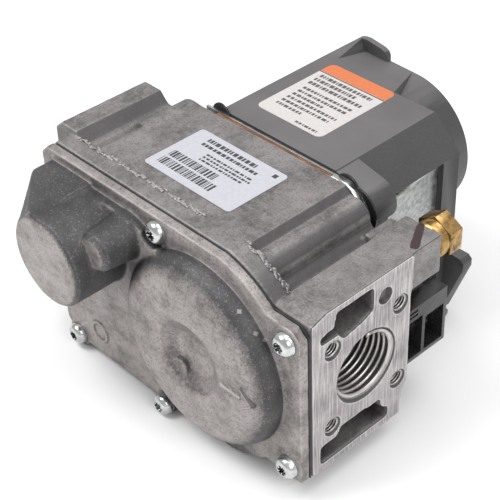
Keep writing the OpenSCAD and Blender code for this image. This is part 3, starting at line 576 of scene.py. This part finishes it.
def print_lines(bm, x0, x1, y, height, z, rng, fill=1.0):
    """A row of short marks, for a line of small print, over the share fill of x0 to x1."""
    x = x0
    end = x0 + (x1 - x0) * fill
    while x < end - 0.3 * MM:
        width = min(rng.uniform(0.45, 1.6) * MM, end - x)
        add_block(bm, (x, y, z), (x + width, y + height, z + PRINT_T))
        x += width + rng.uniform(0.28, 0.5) * MM


def build_rating_label():
    low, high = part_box("rating_label")
    rng = random.Random(4)
    bm = bmesh.new()
    z = high.z - PRINT_ROOM
    add_slab(bm, rounded_rectangle(low.x, low.y, high.x, high.y, 1.2 * MM), low.z, z)
    film = new_piece("rating_label_film", bm, "label_grey", smooth=False)
    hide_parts("rating_label")
    bm = bmesh.new()
    left, right = low.x + 2.5 * MM, high.x - 5 * MM
    for y, height, fill in ((18.4, 1.6, 0.80), (16.2, 1.2, 0.92)):
        print_lines(bm, left + 3 * MM, right, low.y + y * MM, height * MM, z, rng, fill)
    for y, fill in ((13.6, 0.96), (12.2, 1.0), (10.8, 0.88)):
        print_lines(bm, left + 8 * MM, right, low.y + y * MM, 0.75 * MM, z, rng, fill)
    print_lines(bm, right + 1.4 * MM, right + 3 * MM, low.y + 18.8 * MM, 1.6 * MM, z, rng)
    # Two rows of bars
    for y, height, end in ((6.6, 3.0, 0.66), (2.6, 3.2, 0.78)):
        x = left
        while x < left + (right - left) * end:
            width = rng.choice((0.25, 0.35, 0.55, 0.8)) * MM
            add_block(bm, (x, low.y + y * MM, z), (x + width, low.y + (y + height) * MM, z + PRINT_T))
            x += width + rng.choice((0.25, 0.35, 0.5)) * MM
    new_piece("rating_label_print", bm, "ink_dark", smooth=False)


def build_warning_label():
    """A plain notice: white film, an orange band at its head and grey lines below."""
    low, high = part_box("warning_label")
    rng = random.Random(9)
    top = high.z - PRINT_ROOM
    bm = bmesh.new()
    add_slab(bm, rounded_rectangle(low.x, low.y, high.x, high.y, 2.0 * MM), low.z, top)
    film = new_piece("warning_label_film", bm, "label_white", smooth=False)
    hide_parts("warning_label")
    bm = bmesh.new()
    band = high.y - 5.2 * MM
    add_slab(bm, [(low.x, band), (high.x, band)]
             + [(x, y) for x, y in rounded_rectangle(low.x, low.y, high.x, high.y, 2.0 * MM)
                if y > high.y - 2.1 * MM], top, top + PRINT_T)
    new_piece("warning_label_band", bm, "ink_orange", smooth=False)
    bm = bmesh.new()
    add_block(bm, (low.x, band - 0.6 * MM, top), (high.x, band - 0.1 * MM, top + PRINT_T))
    y = band - 3.1 * MM
    for fill in (0.96, 0.78, 0.98):
        print_lines(bm, low.x + 2.2 * MM, high.x - 2.2 * MM, y, 1.5 * MM, top, rng, fill)
        y -= 2.45 * MM
    y -= 0.7 * MM
    for fill in (0.97, 0.99, 0.62, 0.98, 0.93, 0.52):
        print_lines(bm, low.x + 3.2 * MM, high.x - 2.6 * MM, y, 1.15 * MM, top, rng, fill)
        y -= 2.2 * MM
    print_lines(bm, high.x - 11 * MM, high.x - 2.6 * MM, low.y + 1.2 * MM, 0.9 * MM, top, rng)
    new_piece("warning_label_print", bm, "ink_grey", smooth=False)


def build_marker_stripe():
    """Inspector's felt-pen line across the top of the outlet block."""
    bm = bmesh.new()
    start, end = Vector((-7.2, 28.0)) * MM, Vector((-1.6, 18.6)) * MM
    along = (end - start).normalized()
    across = Vector((-along.y, along.x))
    rng = random.Random(2)
    steps = 18
    outline = []
    for side in (1, -1):
        points = []
        for i in range(steps + 1):
            centre = start.lerp(end, i / steps)
            rounding = min(1.0, 0.72 + 2.4 * min(i, steps - i) / steps) * (0.86 + 0.2 * i / steps)
            half_width = (1.15 + rng.uniform(-0.05, 0.05)) * MM * rounding
            points.append(centre + across * side * half_width)
        outline += points if side == 1 else list(reversed(points))
    add_slab(bm, [(p.x, p.y) for p in outline], OUTLET_TOP - 0.1 * MM, OUTLET_TOP + 0.12 * MM)
    new_piece("marker_stripe", bm, "marker", smooth=False)


def add_ridge(bm, a, b, face_y, width, height):
    """A cast ridge with sloping flanks between two [x, z] points on a face that looks along -Y."""
    a, b = Vector(a), Vector(b)
    along = (b - a).normalized()
    across = Vector((-along.y, along.x))
    rings = []
    for spread, lift in ((width / 2, -0.6 * MM), (width / 2, 0.1 * MM), (width * 0.12, height)):
        rings.append([bm.verts.new((p.x, face_y - lift, p.y)) for p in (
            a - along * spread + across * spread, b + along * spread + across * spread,
            b + along * spread - across * spread, a - along * spread - across * spread)])
    bm.faces.new(rings[0])
    bm.faces.new(rings[-1])
    for low, high in zip(rings, rings[1:]):
        for i in range(4):
            j = (i + 1) % 4
            bm.faces.new((low[i], low[j], high[j], high[i]))


# How far the position marks are from the knob's axis
MARK_RADIUS = 19.4 * MM


def build_dial():
    """White paint in the knob's pointer groove, and a mark on the cover for each of its positions."""
    low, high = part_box("gas_control_knob")
    middle = (low + high) / 2
    bm = bmesh.new()
    add_block(bm, (middle.x - 0.6 * MM, high.y - 0.72 * MM, middle.z + 4.2 * MM),
              (middle.x + 0.6 * MM, high.y - 0.45 * MM, middle.z + 12.2 * MM))
    new_piece("knob_pointer", bm, "ink_white", body="knob", smooth=False)
    face_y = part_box("control_cover")[1].y
    bm = bmesh.new()
    for across, up in ((0, 1), (-1, 0), (0, -1)):
        x, z = middle.x + across * MARK_RADIUS, middle.z + up * MARK_RADIUS
        half_x, half_z = (0.35 + 0.9 * abs(across)) * MM, (0.35 + 0.9 * abs(up)) * MM
        add_block(bm, (x - half_x, face_y - 0.02 * MM, z - half_z),
                  (x + half_x, face_y + 0.04 * MM, z + half_z))
    new_piece("dial_marks", bm, "ink_white", smooth=False)


def build_flow_arrow():
    """Cast arrow on the diaphragm dome that shows which way the gas flows."""
    dome_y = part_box("bottom_plate")[0].y + 13.1 * MM
    bm = bmesh.new()
    for start, end in (((-21.6, 0.0), (-14.6, 0.0)), ((-14.2, 3.4), (-10.4, 0.2)),
                       ((-14.2, -3.4), (-10.4, -0.2))):
        add_ridge(bm, Vector(start) * MM, Vector(end) * MM, dome_y, 1.15 * MM, 0.75 * MM)
    new_piece("flow_arrow", bm, "cast", smooth=False)


# The flange's straight side and the round one about the diaphragm, which the flash runs along
FLANGE_TOP = 33.5 * MM
FLANGE_CENTRE_X = -35 * MM
FLANGE_R = 34.2 * MM


def flash_path():
    """Points [x, z] along the flange's edge, each with the angle of the round side there, or 0."""
    path = [((-97 + 0.55 * i) * MM, FLANGE_TOP, 0.0) for i in range(98)]
    for i in range(70):
        angle = math.radians(80 - 0.62 * i)
        path.append((FLANGE_CENTRE_X + FLANGE_R * math.cos(angle), FLANGE_R * math.sin(angle), angle))
    return path


def build_flash():
    """Crumbs of flash along the parting line, where the flange meets the casting's sides."""
    rng = random.Random(12)
    parting_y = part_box("valve_body")[0].y + 5.7 * MM
    bm = bmesh.new()
    for x, z, angle in flash_path():
        if z > FLANGE_TOP + 0.01 * MM or rng.random() < 0.16:
            continue
        size = (rng.uniform(0.4, 1.3), rng.uniform(0.2, 0.65), rng.uniform(0.14, 0.42))
        turn = Matrix.Rotation(rng.uniform(-0.3, 0.3), 4, "Z") @ Matrix.Diagonal(
            (size[0] * MM, size[1] * MM, size[2] * MM, 1))
        place = Matrix.Translation((x, parting_y + rng.uniform(-0.55, 0.55) * MM, z))
        if angle:
            place = place @ Matrix.Rotation(math.pi / 2 - angle, 4, "Y")
        made = bmesh.ops.create_icosphere(bm, subdivisions=2, radius=1.0, matrix=place @ turn)
        for vert in made["verts"]:
            vert.co += Vector([rng.uniform(-0.06, 0.06) * MM for _ in range(3)])
    new_piece("flash", bm, "cast", smooth=True)


# ---------------------------------------------------------------- assembly of the looks

dress_cad_nodes()
build_threads()
build_rating_label()
build_warning_label()
build_marker_stripe()
build_dial()
build_flow_arrow()
build_flash()


# ---------------------------------------------------------------- stage, light and camera

FLOOR_HALF = 3.0


def build_stage():
    """A pale floor under the rest face."""
    rest_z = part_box("valve_body")[0].z
    bm = bmesh.new()
    corners = [bm.verts.new((x * FLOOR_HALF, y * FLOOR_HALF, rest_z - 0.1 * MM)) for x, y in
               ((-1, -1), (1, -1), (1, 1), (-1, 1))]
    bm.faces.new(corners)
    mesh = bpy.data.meshes.new("floor")
    bm.to_mesh(mesh)
    bm.free()
    floor = bpy.data.objects.new("floor", mesh)
    bpy.context.scene.collection.objects.link(floor)
    paper = Shader("floor_paper")
    mesh.materials.append(paper.finish(0.93, 0.85))


def add_light(name, place, target, size, power):
    """A square area light, in metres and watts, that looks at target."""
    data = bpy.data.lights.new(name, "AREA")
    data.energy = power
    data.size = size
    light = bpy.data.objects.new(name, data)
    bpy.context.scene.collection.objects.link(light)
    light.location = place
    light.rotation_euler = (target - Vector(place)).to_track_quat("-Z", "Y").to_euler()


def build_lights():
    """A white studio: an even sky and three soft lights."""
    centre = (cad_low + cad_high) / 2
    world = bpy.data.worlds.new("studio")
    bpy.context.scene.world = world
    world.use_nodes = True
    world.node_tree.nodes["Background"].inputs["Color"].default_value = (1, 1, 1, 1)
    world.node_tree.nodes["Background"].inputs["Strength"].default_value = 0.66
    add_light("key", (-0.35, -0.35, 0.75), centre, 0.4, 4.4)
    add_light("top", (0.10, 0.25, 0.80), centre, 0.6, 2.8)
    add_light("side", (0.60, -0.10, 0.45), centre, 0.4, 1.8)


CAMERA_AZIMUTH = 48.3
CAMERA_ELEVATION = 38.0
CAMERA_ROLL = 2.6
CAMERA_PLACE = (0.16195, -0.18284, 0.22909)
CAMERA_LENS_MM = 92.5


def build_camera():
    """The photograph's view: from the outlet side, above the label face."""
    azimuth, elevation = math.radians(CAMERA_AZIMUTH), math.radians(CAMERA_ELEVATION)
    forward = Vector((-math.sin(azimuth) * math.cos(elevation), math.cos(azimuth) * math.cos(elevation),
                      -math.sin(elevation)))
    right = forward.cross(Vector((0, 0, 1))).normalized()
    up = right.cross(forward)
    level = Matrix((right, up, -forward)).transposed()
    roll = Matrix.Rotation(math.radians(CAMERA_ROLL), 3, forward)
    data = bpy.data.cameras.new("camera")
    data.lens = CAMERA_LENS_MM
    data.sensor_width = 36
    data.clip_start = 0.01
    data.clip_end = 20
    camera = bpy.data.objects.new("camera", data)
    bpy.context.scene.collection.objects.link(camera)
    camera.matrix_world = Matrix.Translation(CAMERA_PLACE) @ (roll @ level).to_4x4()
    bpy.context.scene.camera = camera


build_stage()
build_lights()
build_camera()
bpy.context.scene.view_settings.view_transform = "Standard"
